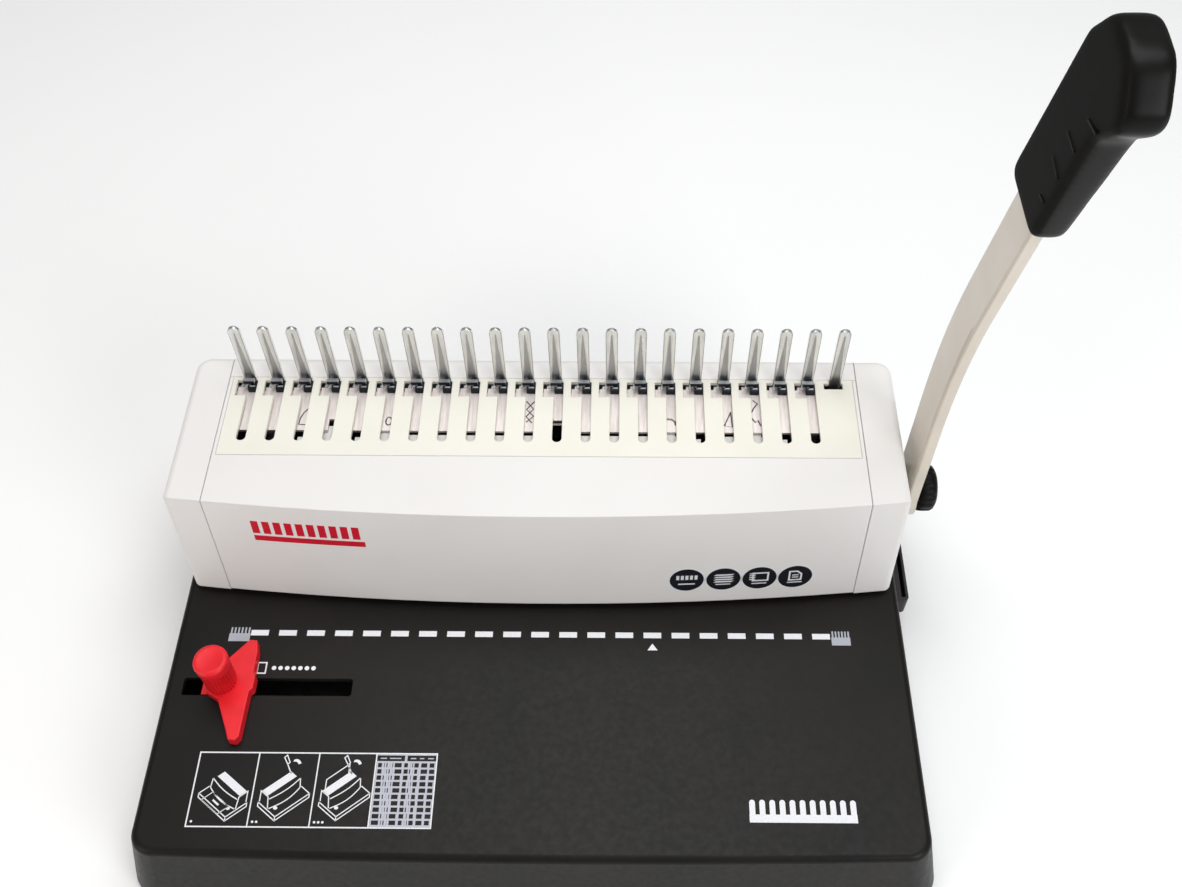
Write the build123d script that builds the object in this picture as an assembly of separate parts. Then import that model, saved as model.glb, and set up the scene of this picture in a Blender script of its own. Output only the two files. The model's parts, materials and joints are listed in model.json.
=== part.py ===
from build123d import *
import math
import os

# ---------------------------------------------------------------- overall frame
# Origin: centre of the base on the table. +X right, +Y rear, +Z up. Millimetres.

# comb geometry
comb_pitch = 14.2875          # spacing of comb rings and punched holes
slot_count = 21               # punched holes, L slots and hooks
finger_count = 22             # fixed fingers that carry the plastic comb

# base
base_top_z = 44.0
base_floor_z = 4.0            # underside of the shell, above the feet
base_half_top = 184.5
base_half_bottom = 193.0
base_front_top = -120.0
base_front_bottom = -127.0
base_rear_top = 124.0
base_rear_bottom = 127.0
base_front_bulge = 2.5
base_wall = 2.8
base_corner_r = 11.0
base_edge_r = 3.6

# housing
roof_z = 116.5
throat_gap = 4.6
housing_half = 180.5
seam_x = 161.0
seam_gap = 0.3
front_low_y = 9.8             # front face at mid width, bottom
front_ridge_y = 19.0          # front face at mid width, ridge
front_bulge = 10.0            # how far the ends sit behind the middle
housing_rear_y = 118.0
housing_wall = 2.5
cap_foot_y = 29.0             # the end caps stand clear of the table in front of this
cap_drop = 0.8                # how far the caps reach below the front cover
housing_edge_r = 4.0
housing_corner_r = 8.0        # upright corners at the rear
cap_screw_x = 171.0
cap_screw_y = (36.0, 100.0)
vent_rows = 4
vent_side_columns = 3         # columns of vents on each side of the middle one
vent_row_pitch = 8.0
vent_column_pitch = 26.0
vent_low_z = 62.0
vent_length = 18.0
vent_height = 3.0

# comb plate
plate_half = 158.9
plate_gap = 0.12
plate_front_y = 54.7
plate_rear_y = 104.0
plate_thickness = 2.0
slot_front_y = 63.4
slot_step_y = 92.0
slot_rear_y = 101.8
slot_wide_left = -6.6
slot_right = 3.9
slot_narrow_left = -0.9

# fingers and hooks
finger_y = 102.0
finger_thickness = 1.9
finger_width = 6.0
finger_tip_z = 156.0
hook_rise = 3.3
hook_travel = 30.0
slider_front_y = 72.0
slider_notch_y = 79.0         # notches in the slider's front edge end here
notch_slots = (3, 11)         # slots above a notch in the slider
pad_slots = (3, 5, 15, 18)    # slots above a pad of the white guide
open_slot = 11                # slot with nothing below its notch
corner_slots = (2, 4, 16, 19)  # slots above a notched corner of the white guide
guide_rail_half = 127.0
guide_rail_z = 111.9
guide_rail_t = 2.4
guide_spread = 1.0092         # the guide's features sit slightly wider apart than the slots
rail_inner_x = 153.2

# punching
punch_y = 41.0
punch_w = 7.9
punch_d = 2.9
punch_travel = 12.0
die_z = 41.2
stripper_thickness = 4.0
punch_fit = 0.07              # clearance around a punch in its plates
strip_half = 156.0            # half length of the die and of the stripper
bar_z0 = 66.0
bar_z1 = 73.9
punch_head_z = 75.6
post_x = 151.5
post_r = 3.0

# drive
shaft_y = 65.5
shaft_z = 76.0
shaft_r = 6.0
lever_swing = 60.0            # degrees from upright to pulled forward
crank_r = punch_travel / (2 * math.sin(math.radians(lever_swing / 2)))
slider_arm_r = hook_travel / (2 * math.sin(math.radians(lever_swing / 2)))
frame_x = 157.4               # inner face of each side frame
frame_t = 3.0
frame_screw_y = (70.0, 96.0)
frame_screw_inset = 7.0       # screws sit this far inside the side frames
slider_tab_x = 133.0
slider_arm_x0 = 135.2
slider_arm_x1 = 140.2
slider_pin_r = 2.3
crank_pin_r = 2.5
crank_disc_gap = 2.4
crank_disc_t = 6.0

# lever
arm_x = 187.0
arm_depth = 5.2
arm_sheet = 1.8
arm_bend_r = 380.0            # gentle bend half way up the arm
arm_foot_r = 14.2
grip_x0 = 180.8
grip_x1 = 196.2
grip_low_x = 193.1            # outer side of the grip at its lower end
grip_low_z = 300.0            # the grip's taper runs between these heights
grip_full_z = 368.0
knob_head_r = 12.4
stud_r = 3.0

# edge guide
guide_slot_x0 = -176.0
guide_slot_x1 = -92.0
guide_y = -35.0
guide_slot_w = 9.2
guide_slot_r = 1.2
guide_screw_x = -155.0
knob_r = 8.4
knob_flutes = 18

# chip drawer
drawer_y0 = 25.0
drawer_y1 = 84.0
drawer_z1 = 29.0
drawer_x0 = -125.0
drawer_pull_x = 194.4
drawer_lip = 1.4


# ---------------------------------------------------------------- helpers
def block(x0, x1, y0, y1, z0, z1):
    """Axis-aligned block between two corners."""
    return Pos((x0 + x1) / 2, (y0 + y1) / 2, (z0 + z1) / 2) * Box(x1 - x0, y1 - y0, z1 - z0)


def rod_x(x0, x1, y, z, r):
    """Cylinder lying along X."""
    return Pos((x0 + x1) / 2, y, z) * Rot(0, 90, 0) * Cylinder(r, x1 - x0)


def rod_z(x, y, z0, z1, r):
    """Upright cylinder."""
    return Pos(x, y, (z0 + z1) / 2) * Cylinder(r, z1 - z0)


def prism_x(points, x0, x1):
    """Side profile of (y, z) points, extruded along X."""
    face = Plane.YZ * make_face(Polyline(*points, close=True))
    return Pos(x0, 0, 0) * extrude(face, x1 - x0)


def bowed_outline(half_w, y_front, y_rear, bulge, corner_r, z):
    """Plan outline with a gently bowed front edge and rounded corners."""
    front = ThreePointArc((-half_w, y_front + bulge), (0, y_front), (half_w, y_front + bulge))
    rest = Polyline(
        (half_w, y_front + bulge),
        (half_w, y_rear),
        (-half_w, y_rear),
        (-half_w, y_front + bulge),
    )
    face = make_face(Curve() + [front, rest])
    if corner_r:
        face = fillet(face.vertices(), corner_r)
    return Pos(0, 0, z) * face


def finger_x(i):
    """Centre of finger i, counted from the left."""
    return (i - (finger_count - 1) / 2) * comb_pitch


def punch_x(i):
    """Centre of punch i, counted from the left."""
    return (i - (slot_count - 1) / 2) * comb_pitch


def swing(y, z, degrees):
    """Point (y, z) from the shaft axis, leaned back by an angle."""
    a = math.radians(degrees)
    return shaft_y + y * math.cos(a) + z * math.sin(a), shaft_z - y * math.sin(a) + z * math.cos(a)


# ---------------------------------------------------------------- base
def make_base_shell():
    """Flared, hollow base with a flat top that works as the paper table."""
    low = bowed_outline(base_half_bottom, base_front_bottom, base_rear_bottom,
                        base_front_bulge, base_corner_r + 3, base_floor_z)
    top = bowed_outline(base_half_top, base_front_top, base_rear_top,
                        base_front_bulge, base_corner_r, base_top_z)
    outer = loft(Sketch() + [low, top])
    rim = outer.faces().sort_by(Axis.Z)[-1].edges()
    outer = fillet(rim, base_edge_r)
    low_in = bowed_outline(base_half_bottom - base_wall, base_front_bottom + base_wall,
                           base_rear_bottom - base_wall, base_front_bulge,
                           base_corner_r, base_floor_z - 0.01)
    top_in = bowed_outline(base_half_top - base_wall, base_front_top + base_wall,
                           base_rear_top - base_wall, base_front_bulge,
                           base_corner_r - 3, base_top_z - base_wall)
    shell = outer - loft(Sketch() + [low_in, top_in])
    for x, y in foot_positions():
        shell += rod_z(x, y, base_floor_z + 2.0, base_top_z - base_wall, 5.0)
        shell -= rod_z(x, y, base_floor_z, 22.0, 1.5)
    slot_mid = (guide_slot_x0 + guide_slot_x1) / 2
    slot_len = guide_slot_x1 - guide_slot_x0
    slot = extrude(RectangleRounded(slot_len, guide_slot_w, guide_slot_r), 8)
    shell -= Pos(slot_mid, guide_y, base_top_z - 6) * slot
    shell -= block(-150.0, 150.0, punch_y - 7, punch_y + 7, 38, 50)
    shell -= block(170, 200, drawer_y0 - 0.6, drawer_y1 + 0.6, base_floor_z - 1, drawer_z1 + 1.6)
    return shell


def foot_positions():
    """Plan positions of the four feet and of the screws above them."""
    return [(-165, -98), (165, -98), (-165, 106), (165, 106)]


def make_bottom_plate():
    """Flat steel plate that closes the base from below."""
    plate = bowed_outline(base_half_bottom - base_wall - 0.9, base_front_bottom + base_wall + 0.9,
                          base_rear_bottom - base_wall - 0.9, base_front_bulge, base_corner_r, 0)
    plate = Pos(0, 0, base_floor_z) * extrude(plate, 2.0)
    for x, y in foot_positions():
        plate -= rod_z(x, y, 0, 10, 1.7)
    plate += block(-128, 176, drawer_y0 - 3.4, drawer_y0 - 1.4, base_floor_z + 1.9, 14)
    plate += block(-128, 176, drawer_y1 + 1.4, drawer_y1 + 3.4, base_floor_z + 1.9, 14)
    return plate


def make_rubber_feet():
    """Four ring feet that hide the screw heads."""
    feet = []
    for x, y in foot_positions():
        foot = rod_z(x, y, 0, base_floor_z, 9.0)
        foot = fillet(foot.edges().sort_by(Axis.Z)[0], 1.2)
        foot -= rod_z(x, y, -1, base_floor_z + 1, 4.2)
        feet.append(foot)
    return feet


def make_bottom_screws():
    """Pan-head screws through the bottom plate into the shell's posts."""
    screws = []
    for x, y in foot_positions():
        head = rod_z(x, y, 1.8, base_floor_z, 3.4)
        head -= block(x - 2.4, x + 2.4, y - 0.4, y + 0.4, 1.5, 2.8)
        head -= block(x - 0.4, x + 0.4, y - 2.4, y + 2.4, 1.5, 2.8)
        screws.append(head + rod_z(x, y, base_floor_z, 18.0, 1.5))
    return screws


# ---------------------------------------------------------------- housing
def housing_solid(inset):
    """Whole housing block, shrunk by an inset on every outside face."""
    half = housing_half - inset
    rise = roof_z - base_top_z
    slope = (front_ridge_y - front_low_y) / rise
    low = bowed_outline(half, front_low_y + inset, housing_rear_y - inset, front_bulge, 0, base_top_z)
    top = bowed_outline(half, front_low_y + inset + slope * (rise - inset), housing_rear_y - inset,
                        front_bulge, 0, roof_z - inset)
    solid = loft(Sketch() + [low, top])
    upright = [e for e in solid.edges() if abs((e @ 0).Z - (e @ 1).Z) > 30]
    solid = fillet([e for e in upright if e.center().Y > shaft_y], housing_corner_r - inset)
    radius = housing_edge_r - inset
    if radius > 1:
        top_edges = solid.faces().sort_by(Axis.Z)[-1].edges()
        ridge = top_edges.sort_by(Axis.Y)[0]
        front = [e for e in solid.edges() if abs((e @ 0).Z - (e @ 1).Z) > 30 and e.center().Y < shaft_y]
        soft = [e for e in top_edges if (e.center() - ridge.center()).length > 1] + front
        solid = fillet(soft, radius)
    return solid


def make_housing_shell():
    """Thin-walled housing before it is divided into its covers."""
    return housing_solid(0) - housing_solid(housing_wall)


def make_front_cover(shell):
    """Bowed front face with the strip of roof in front of the comb plate."""
    half = seam_x - seam_gap / 2
    keep = block(-half, half, -20, plate_front_y - plate_gap, base_top_z + throat_gap, 140)
    for side in (-1, 1):
        x0, x1 = sorted((side * (plate_half + plate_gap), side * half))
        keep += block(x0, x1, plate_front_y - 1, plate_rear_y, roof_z - housing_wall - 1, 140)
    return shell & keep


def make_rear_cover(shell):
    """Back wall with the strip of roof behind the fingers."""
    half = seam_x - seam_gap / 2
    keep = block(-half, half, plate_rear_y + plate_gap, 140, base_top_z, 140)
    cover = shell & keep
    vent = Rot(90, 0, 0) * extrude(SlotOverall(vent_length, vent_height), 10, both=True)
    for row in range(vent_rows):
        z = vent_low_z + row * vent_row_pitch
        for column in range(-vent_side_columns, vent_side_columns + 1):
            cover -= Pos(column * vent_column_pitch, housing_rear_y, z) * vent
    return cover


def make_end_cap(shell, side):
    """End cap outside the seam, closed towards the middle by a thin rib."""
    x0 = seam_x + seam_gap / 2
    x1 = housing_half + 5
    lo, hi = (x0, x1) if side > 0 else (-x1, -x0)
    cap = shell & block(lo, hi, -20, 140, base_top_z, 140)
    rib_lo, rib_hi = (x0, x0 + 2.0) if side > 0 else (-x0 - 2.0, -x0)
    rib = housing_solid(0.6) & block(rib_lo, rib_hi, -20, 140, base_top_z, 140)
    window = prism_x([(34, 52), (42, 104), (104, 104), (104, 52)], rib_lo - 1, rib_hi + 1)
    cap += rib - window
    cap -= block(lo, hi, -20, cap_foot_y, base_top_z - 1, base_top_z + throat_gap - cap_drop)
    for y in cap_screw_y:
        x = side * cap_screw_x
        cap += block(x - 7, x + 7, y - 5, y + 5, base_top_z, base_top_z + 5)
        cap -= rod_z(x, y, base_top_z - 1, base_top_z + 6, 1.6)
    if side > 0:
        cap -= rod_x(housing_half - 6, housing_half + 2, shaft_y, shaft_z, shaft_r + 1.0)
    return cap


def make_cover_screws():
    """Screws that hold the end caps to the base from inside."""
    screws = []
    for side in (-1, 1):
        for y in cap_screw_y:
            x = side * cap_screw_x
            shank = rod_z(x, y, base_top_z, base_top_z + 5, 1.4)
            screws.append(shank + rod_z(x, y, base_top_z + 5, base_top_z + 7, 3.0))
    return screws


# ---------------------------------------------------------------- comb opener
def slot_profile(x):
    """Plan outline of one L slot at a finger's x."""
    outline = make_face(Polyline(
        (x + slot_wide_left, slot_step_y),
        (x + slot_wide_left, slot_rear_y),
        (x - finger_width / 2 - 0.1, slot_rear_y),
        (x - finger_width / 2 - 0.1, plate_rear_y + 1),
        (x + finger_width / 2 + 0.1, plate_rear_y + 1),
        (x + finger_width / 2 + 0.1, slot_rear_y),
        (x + slot_right, slot_rear_y),
        (x + slot_right, slot_front_y + 2.4),
        (x + slot_narrow_left, slot_front_y + 2.4),
        (x + slot_narrow_left, slot_step_y),
        close=True,
    ))
    middle = x + (slot_right + slot_narrow_left) / 2
    end = Pos(middle, slot_front_y + 2.4) * Circle((slot_right - slot_narrow_left) / 2)
    return outline + end


def make_comb_plate():
    """Roof plate with one L slot per hook."""
    plate = block(-plate_half, plate_half, plate_front_y, plate_rear_y,
                  roof_z - plate_thickness, roof_z)
    cuts = Sketch() + [slot_profile(finger_x(i)) for i in range(slot_count)]
    last = finger_x(finger_count - 1)
    cuts += Pos(last - 1.0, 99.9) * Rectangle(9.7, 3.8)
    cuts += Pos(last, 103) * Rectangle(finger_width + 0.2, 4)
    return plate - Pos(0, 0, roof_z - 5) * extrude(cuts, 10)


def make_finger_comb():
    """Stamped strip whose upright fingers carry the plastic comb."""
    strip = block(-156.8, 156.8, finger_y, finger_y + finger_thickness, 92, 109)
    bodies = [strip]
    for i in range(finger_count):
        x = finger_x(i)
        tip_z = finger_tip_z - finger_width / 2
        finger = block(x - finger_width / 2, x + finger_width / 2, finger_y,
                       finger_y + finger_thickness, 108, tip_z)
        tip = Pos(x, finger_y + finger_thickness / 2, tip_z) * Rot(90, 0, 0) * Cylinder(
            finger_width / 2, finger_thickness)
        bodies.append(finger + tip)
    comb = Part() + bodies
    for side in (-1, 1):
        comb += block(side * 151 - 5.5, side * 151 + 5.5, finger_y - 6, finger_y + 0.1, 92, 94)
    return comb


def make_hook_slider():
    """Sliding sheet under the comb plate with one upright hook per slot."""
    z0 = roof_z - 4.3
    z1 = z0 + 1.5
    sheet = block(-156.6, 156.6, slider_front_y, 97.0, z0, z1)
    for i in notch_slots:
        x = finger_x(i) + slot_right
        width = 3.4 if i == notch_slots[0] else 6.6
        sheet -= block(x - width, x + 1.2, slider_front_y - 1, slider_notch_y, z0 - 1, z1 + 1)
    bodies = [sheet]
    for i in range(slot_count):
        x = finger_x(i)
        bodies.append(block(x - 6.4, x - 4.7, 96.9, 99.4, z0, z1))
        bodies.append(block(x - 4.8, x + 0.7, 96.9, 101.5, z0, z1))
        bodies.append(block(x - 0.5, x + 0.7, 97.6, 100.6, z1 - 0.1, roof_z + 1.3))
        head = block(x - 2.8, x + 2.9, 98.4, 100.6, roof_z + 1.2, roof_z + hook_rise)
        bodies.append(head)
    for side in (-1, 1):
        bodies.append(make_slider_lug(side, z0))
    return Part() + bodies


def make_slider_lug(side, top_z):
    """Slotted tab below the slider that the drive pin works in."""
    pin_y, pin_z = swing(0, slider_arm_r, lever_swing / 2)
    x = side * slider_tab_x
    lug = block(x - 1.5, x + 1.5, pin_y - 6, pin_y + 6, pin_z - 5, top_z + 0.1)
    return lug - block(x - 3, x + 3, pin_y - 2.8, pin_y + 2.8, pin_z - 3.2, pin_z + 7.8)


def make_slider_rails():
    """Rails on the side frames that carry the slider's ends."""
    rails = []
    for side in (-1, 1):
        inner = side * rail_inner_x
        outer = side * frame_x
        x0, x1 = min(inner, outer), max(inner, outer)
        rails.append(block(x0, x1, 34, 101.4, roof_z - 7.4, roof_z - 4.4))
    return rails


def guide_feature_x(i):
    """Middle of the white guide's feature below one slot."""
    return finger_x(i) * guide_spread + (slot_right + slot_narrow_left) / 2 - 0.4


def make_slider_guide():
    """White plastic rail below the slider's front edge, hung from the front cover."""
    z0, z1 = guide_rail_z - guide_rail_t, guide_rail_z
    edge_y = slider_front_y - 1.3
    rail = block(-guide_rail_half, guide_rail_half, 62.0, edge_y, z0, z1)
    gap_x = guide_feature_x(open_slot)
    rail -= block(gap_x - 3.6, gap_x + 3.6, 63.5, 80, z0 - 1, z1 + 1)
    for i in corner_slots:
        outward = 1 if i > slot_count / 2 else -1
        x = guide_feature_x(i)
        rail -= block(x - 2.9, x + 2.9, edge_y - 1.6, edge_y + 1, z0 - 1, z1 + 1)
        x0, x1 = sorted((x + outward * 0.1, x + outward * 2.9))
        rail -= block(x0, x1, edge_y - 5.2, edge_y, z0 - 1, z1 + 1)
    for i in pad_slots:
        outward = 1 if i > slot_count / 2 else -1
        x = guide_feature_x(i) - outward * 0.4
        rail += block(x - 2.0, x + 2.0, edge_y - 0.1, slider_front_y + 4.0, z0, z1)
    for x in (-107, -36, 36, 107):
        rail += block(x - 5, x + 5, 31, 62.1, z0, z1)
        rail += block(x - 5, x + 5, 31, 38, z0, roof_z - housing_wall)
    return rail


# ---------------------------------------------------------------- punching
def punch_hole(x, z0, z1):
    """Cutter for one punch's hole with its clearance."""
    half_w = punch_w / 2 + punch_fit
    half_d = punch_d / 2 + punch_fit
    return block(x - half_w, x + half_w, punch_y - half_d, punch_y + half_d, z0, z1)


def make_die_plate():
    """Lower die: a flange under the table and a flush land with the holes."""
    die = block(-strip_half, strip_half, punch_y - 12, punch_y + 12, die_z - 4, die_z)
    die += block(-149.8, 149.8, punch_y - 6.8, punch_y + 6.8, die_z - 0.1, base_top_z)
    for i in range(slot_count):
        x = punch_x(i)
        die -= punch_hole(x, die_z - 6, base_top_z + 1)
    return die


def make_stripper_plate():
    """Upper guide plate that forms the ceiling of the paper throat."""
    z0 = base_top_z + throat_gap
    plate = block(-strip_half, strip_half, punch_y - 13, punch_y + 18, z0, z0 + stripper_thickness)
    for i in range(slot_count):
        x = punch_x(i)
        plate -= punch_hole(x, z0 - 1, z0 + 10)
    return plate


def make_throat_spacers():
    """End blocks and rear stop between the table and the guide plate."""
    z1 = base_top_z + throat_gap
    stop = block(-150.4, 150.4, punch_y + 12, punch_y + 16, base_top_z, z1)
    ends = []
    for side in (-1, 1):
        x0, x1 = sorted((side * 150.6, side * strip_half))
        ends.append(block(x0, x1, punch_y - 13, punch_y + 16, base_top_z, z1))
    return [stop] + ends


def make_punches():
    """Flat punches with heads that rest on the punch bar."""
    tip_z = base_top_z + throat_gap + 0.6
    pins = []
    for i in range(slot_count):
        x = punch_x(i)
        pin = block(x - punch_w / 2, x + punch_w / 2, punch_y - punch_d / 2,
                    punch_y + punch_d / 2, tip_z, bar_z1 + 0.1)
        pins.append(pin + block(x - 4.8, x + 4.8, punch_y - 2.4, punch_y + 2.4, bar_z1, punch_head_z))
    return pins


def make_punch_bar():
    """Bar that carries the punches, with forks for the crank pins."""
    bar = block(-155, 155, punch_y - 7, punch_y + 7, bar_z0, bar_z1)
    for i in range(slot_count):
        x = punch_x(i)
        bar -= block(x - punch_w / 2, x + punch_w / 2, punch_y - punch_d / 2,
                     punch_y + punch_d / 2, 60, 80)
    for side in (-1, 1):
        bar -= rod_z(side * post_x, punch_y, 60, 80, post_r + 0.08)
    for x in crank_lug_x():
        bar += make_crank_lug(x)
    return bar


def crank_lug_x():
    """Middle planes of the three crank forks."""
    return [-7.5 * comb_pitch, 0.5 * comb_pitch, 7.5 * comb_pitch]


def make_crank_lug(x):
    """Upright fork on the punch bar, open to the rear for the crank pin."""
    pin_y, pin_z = swing(-crank_r * math.cos(math.radians(lever_swing / 2)),
                         crank_r * math.sin(math.radians(lever_swing / 2)), 0)
    web = block(x - 1.9, x + 1.9, 37.5, 49.5, bar_z1 - 0.1, pin_z + 6)
    low = block(x - 1.9, x + 1.9, 49.4, 58.2, pin_z - 5.6, pin_z - 2.7)
    high = block(x - 1.9, x + 1.9, 49.4, 58.2, pin_z + 2.7, pin_z + 6)
    return web + low + high


def make_punch_retainer():
    """Strip screwed over the punch heads."""
    strip = block(-147.5, 147.5, punch_y - 6.5, punch_y + 6.5, punch_head_z, punch_head_z + 1.6)
    for x in crank_lug_x():
        strip -= block(x - 2.2, x + 2.2, 37.0, 60, 70, 90)
    for side in (-1, 1):
        for x in (side * 128.6, side * 21.4):
            strip += block(x - 2.2, x + 2.2, punch_y - 6.5, punch_y - 3.0, bar_z1, punch_head_z + 0.1)
    return strip


def make_guide_posts():
    """Two upright posts that the punch bar slides on."""
    z0 = base_top_z + throat_gap + stripper_thickness
    posts = []
    for side in (-1, 1):
        post = rod_z(side * post_x, punch_y, z0, 96, post_r)
        posts.append(post + rod_z(side * post_x, punch_y, z0, z0 + 1.0, post_r + 0.9))
    return posts


# ---------------------------------------------------------------- frames and drive
def make_side_frame(side):
    """Steel side plate with the shaft bearing and a foot on the base."""
    x0, x1 = sorted((side * frame_x, side * (frame_x + frame_t)))
    outline = [(29, base_top_z), (36, 100), (44, 110), (106, 110), (106, base_top_z)]
    plate = prism_x(outline, x0, x1)
    foot_x0, foot_x1 = sorted((side * (frame_x - 14), side * (frame_x + 0.1)))
    plate += block(foot_x0, foot_x1, 62, 104, base_top_z, base_top_z + 3)
    plate -= rod_x(x0 - 1, x1 + 1, shaft_y, shaft_z, shaft_r + 2.5)
    plate -= prism_x([(80, 54), (80, 70), (98, 70), (98, 54)], x0 - 1, x1 + 1)
    for y in frame_screw_y:
        plate -= rod_z(side * (frame_x - frame_screw_inset), y, base_top_z - 1, base_top_z + 4, 2.0)
    return plate


def make_frame_screws():
    """Screws that hold the side frames down on the base."""
    screws = []
    for side in (-1, 1):
        for y in frame_screw_y:
            x = side * (frame_x - frame_screw_inset)
            shank = rod_z(x, y, base_top_z, base_top_z + 3, 1.9)
            head = rod_z(x, y, base_top_z + 3, base_top_z + 5.4, 3.6)
            screws.append(shank + head)
    return screws


def make_tie_bar():
    """Square bar that joins the two side frames at the rear."""
    return block(-frame_x, frame_x, 92, 100, 74, 82)


def make_shaft_bushes():
    """Flanged bushes pressed into the side frames."""
    bushes = []
    for side in (-1, 1):
        x0, x1 = sorted((side * (frame_x - 1.5), side * (frame_x + frame_t)))
        f0, f1 = sorted((side * (frame_x - 1.5), side * frame_x))
        bush = rod_x(x0, x1, shaft_y, shaft_z, shaft_r + 2.5)
        bush += rod_x(f0, f1, shaft_y, shaft_z, shaft_r + 5)
        bush -= rod_x(x0 - 1, x1 + 1, shaft_y, shaft_z, shaft_r + 0.06)
        bushes.append(bush)
    return bushes


def make_drive_shaft():
    """Cross shaft turned by the lever, with a stud for the clamping knob."""
    shaft = rod_x(-163, arm_x + arm_sheet, shaft_y, shaft_z, shaft_r)
    shaft += rod_x(arm_x + arm_sheet, arm_x + 11, shaft_y, shaft_z, stud_r)
    return shaft


def make_crank_discs():
    """Three discs keyed on the shaft that drive the punch bar."""
    discs = []
    for x in crank_lug_x():
        outward = 1 if x > 0 else -1
        x0, x1 = sorted((x + outward * crank_disc_gap, x + outward * (crank_disc_gap + crank_disc_t)))
        disc = rod_x(x0, x1, shaft_y, shaft_z, crank_r + 4.2)
        disc -= rod_x(x0 - 1, x1 + 1, shaft_y, shaft_z, shaft_r)
        disc -= rod_x(x0 - 1, x1 + 1, *crank_pin_centre(), crank_pin_r)
        discs.append(disc)
    return discs


def crank_pin_centre():
    """(y, z) of the crank pins with the lever upright."""
    half = math.radians(lever_swing / 2)
    return shaft_y - crank_r * math.cos(half), shaft_z + crank_r * math.sin(half)


def make_crank_pins():
    """Pins of the crank discs that work in the forks of the punch bar."""
    pins = []
    for x in crank_lug_x():
        outward = 1 if x > 0 else -1
        x0, x1 = sorted((x - outward * 2.2, x + outward * (crank_disc_gap + crank_disc_t)))
        pins.append(rod_x(x0, x1, *crank_pin_centre(), crank_pin_r))
    return pins


def make_slider_arms():
    """Two arms on the shaft that push the hook slider forward."""
    arms = []
    pin_y, pin_z = swing(0, slider_arm_r, lever_swing / 2)
    for side in (-1, 1):
        x0, x1 = sorted((side * slider_arm_x0, side * slider_arm_x1))
        arm = rod_x(x0, x1, shaft_y, shaft_z, 10.5)
        arm += rod_x(x0, x1, pin_y, pin_z, 4.6)
        sides = [(-6.5, 4), (6.5, 4), (4.2, slider_arm_r), (-4.2, slider_arm_r)]
        arm += prism_x([swing(y, z, lever_swing / 2) for y, z in sides], x0, x1)
        arm -= rod_x(x0 - 1, x1 + 1, shaft_y, shaft_z, shaft_r)
        arm -= rod_x(x0 - 1, x1 + 1, pin_y, pin_z, slider_pin_r)
        arms.append(arm)
    return arms


def make_slider_pins():
    """Pins of the slider arms that work in the slider's slotted tabs."""
    pins = []
    pin_y, pin_z = swing(0, slider_arm_r, lever_swing / 2)
    for side in (-1, 1):
        x0, x1 = sorted((side * (slider_tab_x - 2.2), side * slider_arm_x1))
        pins.append(rod_x(x0, x1, pin_y, pin_z, slider_pin_r))
    return pins


# ---------------------------------------------------------------- lever
def arm_outline(inset):
    """Side outline of the lever arm, shrunk by an inset."""
    half = 12.6 - inset
    top_half = 11.4 - inset
    knee = (64.6, 188.0)
    head = (28.5, 322.0)
    lean = math.atan2(knee[0] - head[0], head[1] - knee[1])
    side_y = top_half * math.cos(lean)
    side_z = top_half * math.sin(lean)
    blade = make_face(Polyline(
        (shaft_y - half - 0.6, shaft_z),
        (knee[0] - half, knee[1]),
        (head[0] - side_y, head[1] - side_z),
        (head[0] + side_y, head[1] + side_z),
        (knee[0] + half, knee[1]),
        (shaft_y + half + 0.6, shaft_z),
        close=True,
    ))
    bend = [v for v in blade.vertices() if abs(v.Y - knee[1]) < 1]
    blade = fillet(bend, arm_bend_r)
    return blade + Pos(shaft_y, shaft_z) * Circle(arm_foot_r - inset)


def make_lever_arm():
    """Pressed steel arm: a web with folded edges, bent forward half way up."""
    body = Pos(arm_x, 0, 0) * extrude(Plane.YZ * arm_outline(0), arm_depth)
    outer_edges = body.faces().sort_by(Axis.X)[0].edges()
    body = fillet(outer_edges, 1.2)
    hollow = Pos(arm_x + arm_sheet, 0, 0) * extrude(Plane.YZ * arm_outline(arm_sheet), 20)
    body -= hollow
    boss = rod_x(arm_x + arm_sheet - 0.1, arm_x + arm_depth - 0.6, shaft_y, shaft_z, 10.0)
    body += boss
    body -= rod_x(arm_x - 1, arm_x + 20, shaft_y, shaft_z, stud_r)
    body -= rod_x(arm_x - 1, arm_x + arm_sheet, shaft_y, shaft_z, shaft_r)
    return body


def make_lever_hub():
    """Spacer collar between the end cap and the lever arm."""
    hub = rod_x(housing_half + 0.6, arm_x, shaft_y, shaft_z, 12.0)
    return hub - rod_x(housing_half - 1, arm_x + 1, shaft_y, shaft_z, shaft_r)


def make_lever_knob():
    """Domed clamping knob on the end of the shaft."""
    x0 = arm_x + arm_depth - 0.6
    knob = rod_x(x0, x0 + 2.5, shaft_y, shaft_z, 8.0)
    head = rod_x(x0 + 2.4, x0 + 12.4, shaft_y, shaft_z, knob_head_r)
    rim = head.edges().filter_by(GeomType.CIRCLE).sort_by(Axis.X)
    head = fillet(rim[-1], 4.0)
    head = fillet(head.edges().filter_by(GeomType.CIRCLE).sort_by(Axis.X)[0], 1.0)
    knob += head
    return knob - rod_x(x0 - 1, arm_x + 11, shaft_y, shaft_z, stud_r)


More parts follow.
